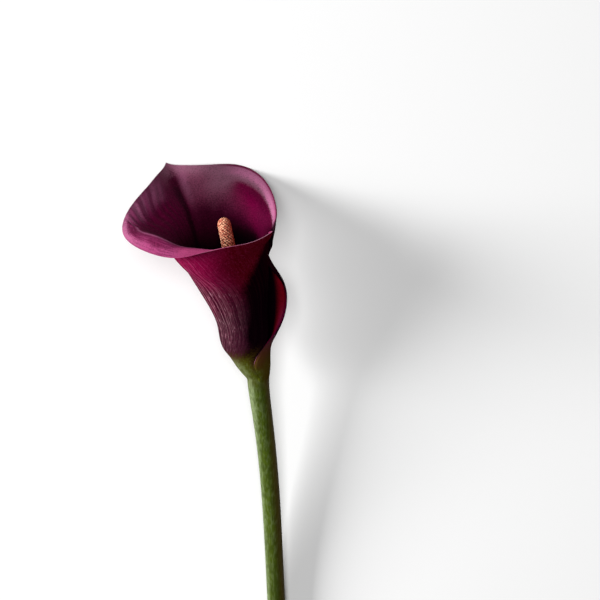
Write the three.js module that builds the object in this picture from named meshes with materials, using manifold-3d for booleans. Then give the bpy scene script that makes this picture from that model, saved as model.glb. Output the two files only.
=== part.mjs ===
// A cut calla lily flower, lying on its back: the rolled spathe, the spadix inside it and the stem.
// Millimetres, +Z up. The stem runs along Y and the mouth is at the +Y end, facing up and away from
// the stem. +X is to the right as seen from above. The flower lies on the plane z = 0.

import * as THREE from "three";
import { mergeVertices } from "three/addons/utils/BufferGeometryUtils.js";
import Module from "manifold-3d";

const wasm = await Module();
wasm.setup();

// ---------------------------------------------------------------- driving dimensions

const OVERALL_LENGTH = 300; // from the cut end of the stem to the far edge of the spathe
const FAR_EDGE = 110; // that edge, from the foot of the spathe
const PIECE_GAP = 0.3; // between the spathe, the spadix and the stem where they meet

const SPATHE = {
  footThickness: 1.5,
  marginThickness: 0.9,
  seam: { from: -14, to: 38, arcSteps: 5, halfThickness: 0.45, length: 5 }, // angles as in RINGS
  ribSteps: 26, // mesh steps from the foot to the margin
  sheetSteps: 70, // mesh steps from the inner margin round to the outer one
};

// The rings that the funnel runs through, from the stem up. Each is an ellipse between its left and
// right points. deep is its half depth, and tilt leans its front edge down towards the stem. The
// sheet runs round it from the angle "from" (inner margin) to the angle "to" (outer margin), where
// 0 faces up and 90 is to the right. step is how far the sheet moves outwards on its way, and inner
// and outer, where they are given, are where the two margins leave the ring.
const RINGS = [
  { at: 0, left: [-4.8, -0.2, 22], right: [4.8, 0.2, 22], deep: 4.8, tilt: 7.4, from: 0, to: -336, step: 1 },
  {
    at: 0.08, left: [-11.2, 7.2, 23], right: [4.7, 7.6, 23], deep: 7, tilt: 8,
    from: 24, to: -354, step: 2, outer: [-1.8, 6.8, 31.6],
  },
  {
    at: 0.19, left: [-16.7, 15, 25], right: [4.2, 18, 25], deep: 10.4, tilt: 13,
    from: 85, to: -330, step: 2, outer: [3, 17, 35.2],
  },
  {
    at: 0.34, left: [-19.8, 27.5, 28.5], right: [5.2, 33, 27], deep: 13.6, tilt: 21,
    from: 115, to: -300, step: 2.6, outer: [12, 31, 26],
  },
  {
    at: 0.5, left: [-27, 43, 33], right: [5.8, 48, 28.5], deep: 18, tilt: 28,
    from: 118, to: -280, step: 2.6, outer: [13.2, 46, 22.5],
  },
  {
    at: 0.65, left: [-35, 57.5, 37], right: [5.2, 61, 31], deep: 23, tilt: 34,
    from: 108, to: -272, step: 2.6, inner: [1.6, 61.5, 28.5], outer: [5.2, 57.5, 33],
  },
  {
    at: 0.79, left: [-44.5, 70, 39.5], right: [6.2, 75, 33.5], deep: 28.5, tilt: 39,
    from: 96, to: -268, step: 2.2, inner: [1.8, 68, 32], outer: [6.4, 65, 35],
  },
];

// The margin of the mouth, from where the inner margin leaves it, round the front, the left lobe,
// the tip and the back, to where the outer margin leaves it. u is its share of the way round.
// roll is where the lip turns over on its way to the margin: a point before its crest and one past.
const MOUTH = [
  { name: "inner end", u: 0, margin: [3.8, 71.5, 34.5] },
  { name: "inner corner", u: 0.045, margin: [6.2, 72, 42] },
  { name: "front right", u: 0.135, margin: [-0.5, 67.5, 55] },
  { name: "front", u: 0.22, margin: [-12, 64.5, 63] },
  { name: "front lip", u: 0.295, margin: [-25, 61.5, 66.2], roll: [[-25, 62.4, 63.2], [-25, 62.6, 65.2]] },
  { name: "left lip", u: 0.36, margin: [-38, 59, 65], roll: [[-36.5, 64.4, 62.4], [-37.2, 63.2, 66]] },
  { name: "outer lip", u: 0.42, margin: [-52, 61.8, 58.6], roll: [[-46.5, 69.3, 57], [-48.5, 67, 60.3]] },
  { name: "left lobe", u: 0.485, margin: [-65.2, 71, 45], roll: [[-55.5, 73, 45.5], [-60.5, 72.3, 47]] },
  { name: "left shoulder", u: 0.55, margin: [-63, 85, 33] },
  { name: "left back", u: 0.615, margin: [-54.5, 97.5, 20] },
  { name: "tip", u: 47 / 70, margin: [-46, 107, 3.8] },
  { name: "back", u: 0.72, margin: [-31, 108, 5] },
  { name: "back right", u: 0.78, margin: [-12, 108.7, 0.2] },
  { name: "right shoulder", u: 0.845, margin: [2.2, 101.2, 5] },
  { name: "right", u: 0.925, margin: [9.2, 85, 25] },
  { name: "outer corner", u: 0.97, margin: [8.9, 77, 33.5] },
  { name: "outer end", u: 1, margin: [7.7, 70.5, 36.5] },
];
const ROLL_AT = [0.89, 0.95]; // where these two points are, between the last ring and the margin

const TIP = { u: 47 / 70, beak: [-2, 3.36, -3.2], beakWidth: 0.011, grooveDepth: 1, grooveWidth: 0.026 };

const SPADIX = {
  route: [[-6.5, 28, 27], [-12.9, 58, 34], [-16.9, 79.2, 38]],
  footRadius: 3.7,
  tipRadius: 3.1,
  floretsRound: 13,
  floretPitch: 1.7, // from one row of florets to the next but one
  floretHeight: 0.35,
};

const STEM = {
  // Where its middle runs, from the spathe down to the cut end, and its radius there.
  stations: [
    { middle: [0, 0, 22], radius: 5.6 },
    { middle: [0.75, -9, 20.6], radius: 5.25 },
    { middle: [3.4, -30, 16.6], radius: 4.85 },
    { middle: [6.2, -62, 10.8], radius: 4.65 },
    { middle: [8.4, -105, 5.8], radius: 4.55 },
    { middle: [10.4, -150, 4.25], radius: 4.6 },
    { middle: [11.8, FAR_EDGE - OVERALL_LENGTH - 0.5, 4.3], radius: 4.7 }, // just past the cut
  ],
  receptacleRadius: 3.25, // the boss on the stem's top, inside the spathe's foot
  receptacleLength: 3.8,
  steps: 32,
  sides: 24,
};

// ---------------------------------------------------------------- shared geometry

const vector = (xyz) => new THREE.Vector3(...xyz);
const radians = THREE.MathUtils.degToRad;
const lerp = THREE.MathUtils.lerp;
const smooth = (t) => THREE.MathUtils.smoothstep(t, 0, 1);

// Weights of a natural cubic spline: its value at t is the sum of weight times value over the knots.
function splineWeights(knots) {
  const n = knots.length;
  const bends = knots.map((_, unit) => {
    // Its second derivatives at the knots when one value is 1 and the rest are 0.
    const value = knots.map((_, i) => (i === unit ? 1 : 0));
    const upper = new Array(n).fill(0);
    const right = new Array(n).fill(0);
    for (let i = 1; i < n - 1; i++) {
      const before = knots[i] - knots[i - 1];
      const after = knots[i + 1] - knots[i];
      const slopeChange = (value[i + 1] - value[i]) / after - (value[i] - value[i - 1]) / before;
      const pivot = 2 * (before + after) - before * upper[i - 1];
      upper[i] = after / pivot;
      right[i] = (6 * slopeChange - before * right[i - 1]) / pivot;
    }
    for (let i = n - 2; i > 0; i--) right[i] -= upper[i] * right[i + 1];
    return right;
  });
  return (t) => {
    let i = 0;
    while (i < n - 2 && t > knots[i + 1]) i++;
    const width = knots[i + 1] - knots[i];
    const b = (t - knots[i]) / width;
    const a = 1 - b;
    return knots.map((_, unit) => {
      const straight = (unit === i ? a : 0) + (unit === i + 1 ? b : 0);
      const bend = (a ** 3 - a) * bends[unit][i] + (b ** 3 - b) * bends[unit][i + 1];
      return straight + (bend * width * width) / 6;
    });
  };
}

function weighted(points, weights) {
  const sum = new THREE.Vector3();
  points.forEach((p, i) => sum.addScaledVector(p, weights[i]));
  return sum;
}

// The two triangles of a four-sided face a, b, c, d, divided along its shorter diagonal.
function divided(points, a, b, c, d) {
  const alongAC = points[a].distanceTo(points[c]) < points[b].distanceTo(points[d]);
  return alongAC ? [[a, b, c], [a, c, d]] : [[a, b, d], [b, c, d]];
}

// A closed surface over rows of points, each row a loop, with its first and last rows capped.
function rowsGeometry(rows) {
  const sides = rows[0].length;
  const points = rows.flat();
  const triangles = [];
  for (let r = 0; r + 1 < rows.length; r++)
    for (let s = 0; s < sides; s++) {
      const [a, b] = [r * sides + s, r * sides + ((s + 1) % sides)];
      triangles.push(...divided(points, a, b, b + sides, a + sides));
    }
  [0, rows.length - 1].forEach((r) => {
    const hub = points.length;
    points.push(weighted(rows[r], new Array(sides).fill(1 / sides)));
    for (let s = 0; s < sides; s++) {
      const [a, b] = [r * sides + s, r * sides + ((s + 1) % sides)];
      triangles.push(r === 0 ? [hub, b, a] : [hub, a, b]);
    }
  });
  return new THREE.BufferGeometry().setFromPoints(points).setIndex(triangles.flat());
}

// A loop of points round middle, in the plane across the direction along. radiusAt gives the radius
// from the angle and the number of each point.
function loop(middle, along, sides, radiusAt) {
  const up = new THREE.Vector3(0, 0, 1).addScaledVector(along, -along.z).normalize();
  const side = along.clone().cross(up);
  return Array.from({ length: sides }, (_, s) => {
    const angle = ((s + 0.5) / sides) * 2 * Math.PI;
    const radius = radiusAt(angle, s);
    return middle
      .clone()
      .addScaledVector(up, radius * Math.cos(angle))
      .addScaledVector(side, radius * Math.sin(angle));
  });
}

function toSolid(geometry) {
  geometry.deleteAttribute("normal");
  geometry.deleteAttribute("uv");
  const merged = mergeVertices(geometry, 1e-4);
  return new wasm.Manifold(
    new wasm.Mesh({
      numProp: 3,
      vertProperties: merged.attributes.position.array,
      triVerts: new Uint32Array(merged.index.array),
    }),
  );
}

function toGeometry(solid) {
  const mesh = solid.getMesh();
  const geometry = new THREE.BufferGeometry();
  geometry.setAttribute("position", new THREE.BufferAttribute(mesh.vertProperties, 3));
  geometry.setIndex(new THREE.BufferAttribute(mesh.triVerts, 1));
  geometry.computeVertexNormals();
  return geometry;
}

// What a piece keeps: what is above the surface it lies on, which leaves small flat spots where it
// rests, and on the flower's side of the cut across the stem.
const kept = toSolid(
  new THREE.BoxGeometry(1000, 1000, 500).translate(0, FAR_EDGE - OVERALL_LENGTH + 500, 250),
);

// ---------------------------------------------------------------- stem

const stemWeights = splineWeights(STEM.stations.map((_, i) => i / (STEM.stations.length - 1)));
const stemMiddles = STEM.stations.map((station) => vector(station.middle));

function stemDirection(t) {
  const before = weighted(stemMiddles, stemWeights(Math.max(0, t - 1e-3)));
  const after = weighted(stemMiddles, stemWeights(Math.min(1, t + 1e-3)));
  return before.sub(after).normalize(); // towards the flower
}

const stemTop = vector(STEM.stations[0].middle);
const topDirection = stemDirection(0);

function makeStem() {
  const { stations, steps, sides, receptacleRadius, receptacleLength } = STEM;
  const rows = [];
  for (let r = steps; r >= 0; r--) {
    const t = r / steps;
    const weights = stemWeights(t);
    const radius = stations.reduce((sum, station, i) => sum + station.radius * weights[i], 0);
    const middle = weighted(stemMiddles, weights).addScaledVector(stemDirection(t), -PIECE_GAP * (1 - t));
    rows.push(loop(middle, stemDirection(t), sides, () => radius));
  }
  [-PIECE_GAP, receptacleLength].forEach((height) => {
    const middle = stemTop.clone().addScaledVector(topDirection, height);
    rows.push(loop(middle, topDirection, sides, () => receptacleRadius));
  });
  return toGeometry(toSolid(rowsGeometry(rows)).intersect(kept));
}

// ---------------------------------------------------------------- spathe

function ringPoint(ring, share) {
  const left = vector(ring.left);
  const right = vector(ring.right);
  const middle = left.clone().add(right).divideScalar(2);
  const across = right.distanceTo(left) / 2;
  const side = right.sub(left).normalize();
  const front = new THREE.Vector3(0, -Math.sin(radians(ring.tilt)), Math.cos(radians(ring.tilt)));
  const around = (at) => {
    const angle = radians(lerp(ring.from, ring.to, at));
    const outwards = ring.step * (at - 0.5);
    return middle
      .clone()
      .addScaledVector(side, (across + outwards) * Math.sin(angle))
      .addScaledVector(front, (ring.deep + outwards) * Math.cos(angle));
  };
  const point = around(share);
  if (ring.outer)
    point.addScaledVector(vector(ring.outer).sub(around(1)), smooth((share - 0.75) / 0.25));
  if (ring.inner)
    point.addScaledVector(vector(ring.inner).sub(around(0)), smooth(1 - share / 0.1));
  return point;
}

// Each rib of the sheet: its points on the rings, on the roll of the lip and on the margin.
const lastRing = RINGS.at(-1);
const ribs = MOUTH.map(({ u, margin, roll }) => {
  const onRings = RINGS.map((ring) => ringPoint(ring, u));
  const edge = vector(margin);
  const straight = (at) => onRings.at(-1).clone().lerp(edge, (at - lastRing.at) / (1 - lastRing.at));
  const lip = roll ? roll.map(vector) : ROLL_AT.map(straight);
  return [...onRings, ...lip, edge];
});

const ribWeights = splineWeights([...RINGS.map((ring) => ring.at), ...ROLL_AT, 1]);
const sheetWeights = splineWeights(MOUTH.map(({ u }) => u));

function bareSheet(u, v) {
  const along = ribWeights(v);
  return weighted(ribs.map((rib) => weighted(rib, along)), sheetWeights(u));
}

// Outward normal of a surface given as a function of u (0 at the inner margin, 1 at the outer one)
// and v (0 at the foot, 1 at the margin of the mouth).
function sheetNormal(surface, u, v) {
  const h = 1e-3;
  const [u0, u1] = [Math.max(0, u - h), Math.min(1, u + h)];
  const [v0, v1] = [Math.max(0, v - h), Math.min(1, v + h)];
  const roundSheet = surface(u1, v).sub(surface(u0, v));
  const alongRib = surface(u, v1).sub(surface(u, v0));
  return alongRib.cross(roundSheet).normalize();
}

// The middle of the sheet, with the groove of its midrib and the beak at its tip.
function sheet(u, v) {
  const off = (u - TIP.u) / TIP.grooveWidth;
  const groove = TIP.grooveDepth * Math.exp(-off * off) * smooth((v - 0.45) / 0.35);
  const beak = Math.exp(-Math.abs(u - TIP.u) / TIP.beakWidth) * smooth((v - 0.9) / 0.1);
  return bareSheet(u, v)
    .addScaledVector(sheetNormal(bareSheet, u, v), groove)
    .addScaledVector(vector(TIP.beak), beak);
}

// The mesh rows lie closer together towards the margin, where the lip rolls over.
const rowHeight = (t) => t + (0.4 * Math.sin(Math.PI * t)) / Math.PI;

function sheetGeometry() {
  const { sheetSteps, ribSteps, footThickness, marginThickness } = SPATHE;
  const columns = sheetSteps + 1;
  const middle = [];
  const outer = [];
  const inner = [];
  for (let r = 0; r <= ribSteps; r++)
    for (let c = 0; c <= sheetSteps; c++) {
      const [u, v] = [c / sheetSteps, rowHeight(r / ribSteps)];
      const point = sheet(u, v);
      const normal = sheetNormal(sheet, u, v);
      if (r === 0) normal.projectOnPlane(topDirection).normalize(); // flat on the stem's shoulder
      const half = lerp(footThickness, marginThickness, v) / 2;
      middle.push(point);
      outer.push(point.clone().addScaledVector(normal, half));
      inner.push(point.clone().addScaledVector(normal, -half));
    }
  const other = outer.length;
  const triangles = [];
  for (let r = 0; r < ribSteps; r++)
    for (let c = 0; c < sheetSteps; c++) {
      const a = r * columns + c;
      const onOuter = divided(middle, a, a + columns, a + columns + 1, a + 1);
      const onInner = onOuter.map(([p, q, s]) => [p + other, s + other, q + other]);
      triangles.push(...onOuter, ...onInner);
    }
  const edge = [];
  for (let c = 0; c < sheetSteps; c++) edge.push(c);
  for (let r = 0; r < ribSteps; r++) edge.push(r * columns + sheetSteps);
  for (let c = sheetSteps; c > 0; c--) edge.push(ribSteps * columns + c);
  for (let r = ribSteps; r > 0; r--) edge.push(r * columns);
  edge.forEach((a, i) => {
    const b = edge[(i + 1) % edge.length];
    triangles.push([a, b, b + other], [a, b + other, a + other]);
  });
  return new THREE.BufferGeometry().setFromPoints([...outer, ...inner]).setIndex(triangles.flat());
}

// The seam at the foot of the spathe, where its margins have grown into each other: a short strip
// inside the thickness of the sheet, from one margin to the other.
function seamGeometry() {
  const { from, to, arcSteps, halfThickness, length } = SPATHE.seam;
  const [foot, next] = RINGS;
  const rows = [0, 0.5, 1].map((step) => {
    const share = (step * length) / next.left[1];
    const ring = (angle, outwards) => {
      const at = [foot, next].map(({ left, right, deep, tilt }) =>
        ringPoint({ left, right, deep: deep + outwards, tilt, from: angle, to: angle, step: 0 }, 0),
      );
      return at[0].lerp(at[1], share);
    };
    const arc = Array.from({ length: arcSteps + 1 }, (_, i) => lerp(from, to, i / arcSteps));
    const outer = arc.map((angle) => ring(angle, halfThickness));
    const inner = arc.map((angle) => ring(angle, -halfThickness));
    return [...outer, ...inner.reverse()];
  });
  return rowsGeometry(rows);
}

function makeSpathe() {
  const sheetSolid = toSolid(sheetGeometry());
  return toGeometry(sheetSolid.add(toSolid(seamGeometry())).intersect(kept));
}

// ---------------------------------------------------------------- spadix

// The florets stand in alternating rows all over the spadix: every second point of the rows is the
// top of a floret, and the points between are the dents round it.
function makeSpadix() {
  const { route, footRadius, tipRadius, floretsRound, floretPitch, floretHeight } = SPADIX;
  const foot = stemTop.clone().addScaledVector(topDirection, STEM.receptacleLength + PIECE_GAP);
  const base = foot.clone().addScaledVector(topDirection, 3);
  const line = new THREE.CatmullRomCurve3([foot, base, ...route.map(vector)]);
  const length = line.getLength();
  const steps = Math.round((2 * length) / floretPitch);
  const rows = [];
  for (let r = 0; r <= steps; r++) {
    const t = r / steps;
    const fromTip = Math.min(1, ((1 - t) * length) / tipRadius);
    const dome = Math.sqrt(Math.max(0.02, 1 - (1 - fromTip) ** 2));
    const row = loop(line.getPointAt(t), line.getTangentAt(t), 2 * floretsRound, (_, s) => {
      const relief = (r + s) % 2 === 0 ? floretHeight / 2 : -floretHeight / 2;
      return (lerp(footRadius, tipRadius, t) + relief) * dome;
    });
    rows.push(row);
  }
  return rowsGeometry(rows);
}

// ---------------------------------------------------------------- the flower

function part(name, geometry, colour, roughness) {
  const material = new THREE.MeshStandardMaterial({ color: colour, roughness, metalness: 0 });
  const mesh = new THREE.Mesh(geometry, material);
  mesh.name = name;
  return mesh;
}

const flower = new THREE.Group();
flower.add(part("spathe", makeSpathe(), 0x4a0a30, 0.5));
flower.add(part("spadix", makeSpadix(), 0xb87a5a, 0.8));
flower.add(part("stem", makeStem(), 0x4f6a2c, 0.5));

// The origin is under the middle of the whole flower, on the surface it lies on.
const box = new THREE.Box3().setFromObject(flower);
const middle = box.getCenter(new THREE.Vector3());
flower.children.forEach((piece) => piece.geometry.translate(-middle.x, -middle.y, -box.min.z));

export default flower;
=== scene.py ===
"""The looks of a cut calla lily flower that lies on its back.

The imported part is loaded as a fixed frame, and each of its nodes gets a finer piece in its place:
the rolled spathe, the spadix with its florets, and the stem. Blender works in metres, with +Z up.
Sizes here are in millimetres from the foot of the spathe, and MM turns them into metres.
"""

import logging
import math
import random
from dataclasses import dataclass, field
from enum import Enum

import bpy
import numpy as np
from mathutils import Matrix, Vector


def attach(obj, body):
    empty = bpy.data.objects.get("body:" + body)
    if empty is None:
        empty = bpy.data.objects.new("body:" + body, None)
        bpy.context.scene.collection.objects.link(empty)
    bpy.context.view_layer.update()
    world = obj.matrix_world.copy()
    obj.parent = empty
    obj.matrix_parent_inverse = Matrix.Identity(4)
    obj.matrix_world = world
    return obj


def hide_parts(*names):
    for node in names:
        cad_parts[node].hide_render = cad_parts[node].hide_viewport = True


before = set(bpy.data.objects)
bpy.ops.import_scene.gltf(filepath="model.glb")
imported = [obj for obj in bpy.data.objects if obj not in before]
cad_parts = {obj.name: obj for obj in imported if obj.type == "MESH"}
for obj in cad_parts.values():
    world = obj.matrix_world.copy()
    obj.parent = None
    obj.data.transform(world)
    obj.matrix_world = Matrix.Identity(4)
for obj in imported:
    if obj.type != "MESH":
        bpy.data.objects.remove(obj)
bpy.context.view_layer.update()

log = logging.getLogger("calla")

MM = 0.001
FOOT = np.array([24.88, 40.0, 0.0])  # the foot of the spathe, from the flower's origin
OVERALL_LENGTH = 300.0
FAR_EDGE = 110.0  # the far edge of the spathe, from its foot

SKIN_CELLS = 1500.0  # how many of the skin's tiny cells lie along a metre
SHARPEST = 50.0  # the sharpest edge, in degrees, that is still shaded smoothly

Array = np.ndarray
Piece = bpy.types.Object
Material = bpy.types.Material
Socket = bpy.types.NodeSocket
Point = tuple[float, float, float]
Colour = tuple[float, float, float, float]
Value = "Number | float"  # what an input of a node takes


# ---------------- shared maths


def smooth(value: Array, low: float, high: float) -> Array:
    """Rise smoothly from 0 at low to 1 at high.

    Args:
        value: Numbers to look up.
        low: Where the rise starts.
        high: Where it ends. It may be below low, and the curve then falls.

    Returns:
        Numbers from 0 to 1, in the shape of value.
    """
    share = np.clip((value - low) / (high - low), 0.0, 1.0)
    return share * share * (3.0 - 2.0 * share)


def bell(value: Array, centre: float, width: float) -> Array:
    """Give a bell curve that is 1 at its centre.

    Args:
        value: Numbers to look up.
        centre: Where the curve is highest.
        width: How far from there it falls to 1/e.

    Returns:
        Numbers from 0 to 1, in the shape of value.
    """
    return np.exp(-(((value - centre) / width) ** 2))


def spline_weights(knots: list[float], places: Array) -> Array:
    """Work out the weights of a natural cubic spline.

    Args:
        knots: Where the spline's values are given, rising.
        places: Where it is looked up.

    Returns:
        One row for each place, and in it the weight of the value at each knot.
    """
    knot = np.asarray(knots, float)
    count = len(knot)
    gap = np.diff(knot)
    system = np.eye(count)
    change = np.zeros((count, count))
    for i in range(1, count - 1):
        system[i, i - 1 : i + 2] = gap[i - 1], 2 * (gap[i - 1] + gap[i]), gap[i]
        change[i, i - 1 : i + 2] = 6 / gap[i - 1], -6 / gap[i - 1] - 6 / gap[i], 6 / gap[i]
    bends = np.linalg.solve(system, change)
    left = np.clip(np.searchsorted(knot, places, side="right") - 1, 0, count - 2)
    width = gap[left]
    b = (places - knot[left]) / width
    a = 1.0 - b
    unit = np.eye(count)
    straight = a[:, None] * unit[left] + b[:, None] * unit[left + 1]
    bend = (a**3 - a)[:, None] * bends[left] + (b**3 - b)[:, None] * bends[left + 1]
    return straight + bend * (width**2 / 6.0)[:, None]


def unit_vectors(vectors: Array) -> Array:
    """Scale each vector to length 1.

    Args:
        vectors: An array whose last axis holds x, y and z.

    Returns:
        The same vectors with their lengths made 1.
    """
    return vectors / np.maximum(np.linalg.norm(vectors, axis=-1, keepdims=True), 1e-9)


# ---------------- shared modelling


def sheet_from_grid(name: str, columns: int, rows: int, points: Array) -> Piece:
    """Add a grid and move its corners onto a surface.

    Args:
        name: The piece's name.
        columns: Faces across the grid.
        rows: Faces along it.
        points: Places in millimetres, in an array of rows + 1 by columns + 1 by 3.

    Returns:
        The grid as an object at the flower's origin.
    """
    bpy.ops.mesh.primitive_grid_add(x_subdivisions=columns, y_subdivisions=rows, size=1.0)
    piece = bpy.context.object
    piece.name = name
    piece.data.name = name
    # A grid numbers its corners row by row, from the first column to the last.
    piece.data.vertices.foreach_set("co", ((points + FOOT) * MM).ravel())
    piece.data.update()
    return piece


def pick(*pieces: Piece) -> None:
    """Select pieces and nothing else, and make the last one active."""
    bpy.ops.object.select_all(action="DESELECT")
    for piece in pieces:
        piece.select_set(True)
    bpy.context.view_layer.objects.active = pieces[-1]


def edit(piece: Piece) -> None:
    """Open a piece in edit mode with all of it selected."""
    pick(piece)
    bpy.ops.object.mode_set(mode="EDIT")
    bpy.ops.mesh.select_all(action="SELECT")


def close_edit() -> None:
    """Leave edit mode."""
    bpy.ops.object.mode_set(mode="OBJECT")


def rest_on_table(piece: Piece) -> None:
    """Press what would lie below the table flat on it."""
    flat = np.empty(len(piece.data.vertices) * 3)
    piece.data.vertices.foreach_get("co", flat)
    flat[2::3] = np.maximum(flat[2::3], 0.0)
    piece.data.vertices.foreach_set("co", flat)
    piece.data.update()


def shade(piece: Piece, angle: float) -> None:
    """Shade a piece smoothly, apart from edges that are sharper than an angle in degrees."""
    pick(piece)
    bpy.ops.object.shade_smooth_by_angle(angle=math.radians(angle))


@dataclass(frozen=True)
class Section:
    """A round section of a stalk: its middle, the direction of the stalk there and its radius."""

    middle: Array
    along: Array
    radius: float

    def point(self, angle: Array) -> Array:
        """Give the points of the section at angles, where 0 faces up and a quarter turn is right."""
        up = unit_vectors(np.array([0.0, 0.0, 1.0]) - self.along * self.along[2])
        side = np.cross(self.along, up)
        around = np.cos(angle)[:, None] * up + np.sin(angle)[:, None] * side
        return self.middle + self.radius * around


def stalk(name: str, sections: list[Section], sides: int) -> Piece:
    """Roll a grid into a closed stalk whose first and last sections shrink to a point.

    The first two numbers of the attribute "grain" are the place across the stalk, in millimetres,
    so that a pattern can follow it with no seam.

    Args:
        name: The piece's name.
        sections: The stalk's sections, from one end to the other.
        sides: Faces round it.

    Returns:
        The stalk as an object at the flower's origin.
    """
    angles = np.linspace(0.0, 2.0 * math.pi, sides + 1) + math.pi
    points = np.stack([section.point(angles) for section in sections])
    piece = sheet_from_grid(name, sides, len(sections) - 1, points)
    radii = np.array([[section.radius] for section in sections])
    across = [radii * np.cos(angles), radii * np.sin(angles)]
    grain = np.stack([*across, np.zeros_like(across[0])], axis=-1)
    attribute = piece.data.attributes.new("grain", "FLOAT_VECTOR", "POINT")
    attribute.data.foreach_set("vector", grain.ravel())
    edit(piece)
    bpy.ops.mesh.remove_doubles(threshold=1e-6)
    bpy.ops.mesh.normals_make_consistent(inside=False)
    close_edit()
    return piece


# ---------------- shader maths


def srgb(red: int, green: int, blue: int) -> Colour:
    """Turn a colour of 0 to 255, as seen on a screen, into the linear colour that shaders take."""

    def linear(level: int) -> float:
        share = level / 255
        return share / 12.92 if share <= 0.04045 else ((share + 0.055) / 1.055) ** 2.4

    return linear(red), linear(green), linear(blue), 1.0


@dataclass(frozen=True)
class Number:
    """A number that nodes work out. Python's operators on it add Math nodes."""

    paint: "Paint"
    socket: Socket

    def _math(self, operation: str, *operands: Value) -> "Number":
        """Add a Math node with an operation on operands."""
        inputs = dict(enumerate(operands))
        node = self.paint.node("ShaderNodeMath", {"operation": operation}, inputs)
        return Number(self.paint, node.outputs[0])

    def __add__(self, other: Value) -> "Number":
        """Add."""
        return self._math("ADD", self, other)

    def __sub__(self, other: Value) -> "Number":
        """Subtract."""
        return self._math("SUBTRACT", self, other)

    def __rsub__(self, other: float) -> "Number":
        """Subtract from a plain number."""
        return self._math("SUBTRACT", other, self)

    def __mul__(self, other: Value) -> "Number":
        """Multiply."""
        return self._math("MULTIPLY", self, other)

    def __truediv__(self, other: Value) -> "Number":
        """Divide."""
        return self._math("DIVIDE", self, other)

    def __pow__(self, other: Value) -> "Number":
        """Raise to a power."""
        return self._math("POWER", self, other)

    def over(self, low: float, high: float) -> "Number":
        """Rise smoothly from 0 where this is low to 1 where it is high, or fall if high is lower."""
        settings = {"interpolation_type": "SMOOTHSTEP"}
        if low <= high:
            inputs = {"Value": self, "From Min": low, "From Max": high}
        else:
            inputs = {"Value": self, "From Min": high, "From Max": low, "To Min": 1.0, "To Max": 0.0}
        return Number(self.paint, self.paint.node("ShaderNodeMapRange", settings, inputs).outputs[0])

    def at_least(self, floor: float) -> "Number":
        """Raise what is below a floor to it."""
        return self._math("MAXIMUM", self, floor)

    def near(self, centre: float, width: float) -> "Number":
        """Give a soft band that is 1 where this is centre and 0 from width away."""
        return self._math("ABSOLUTE", self - centre).over(width, 0.0)


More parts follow.
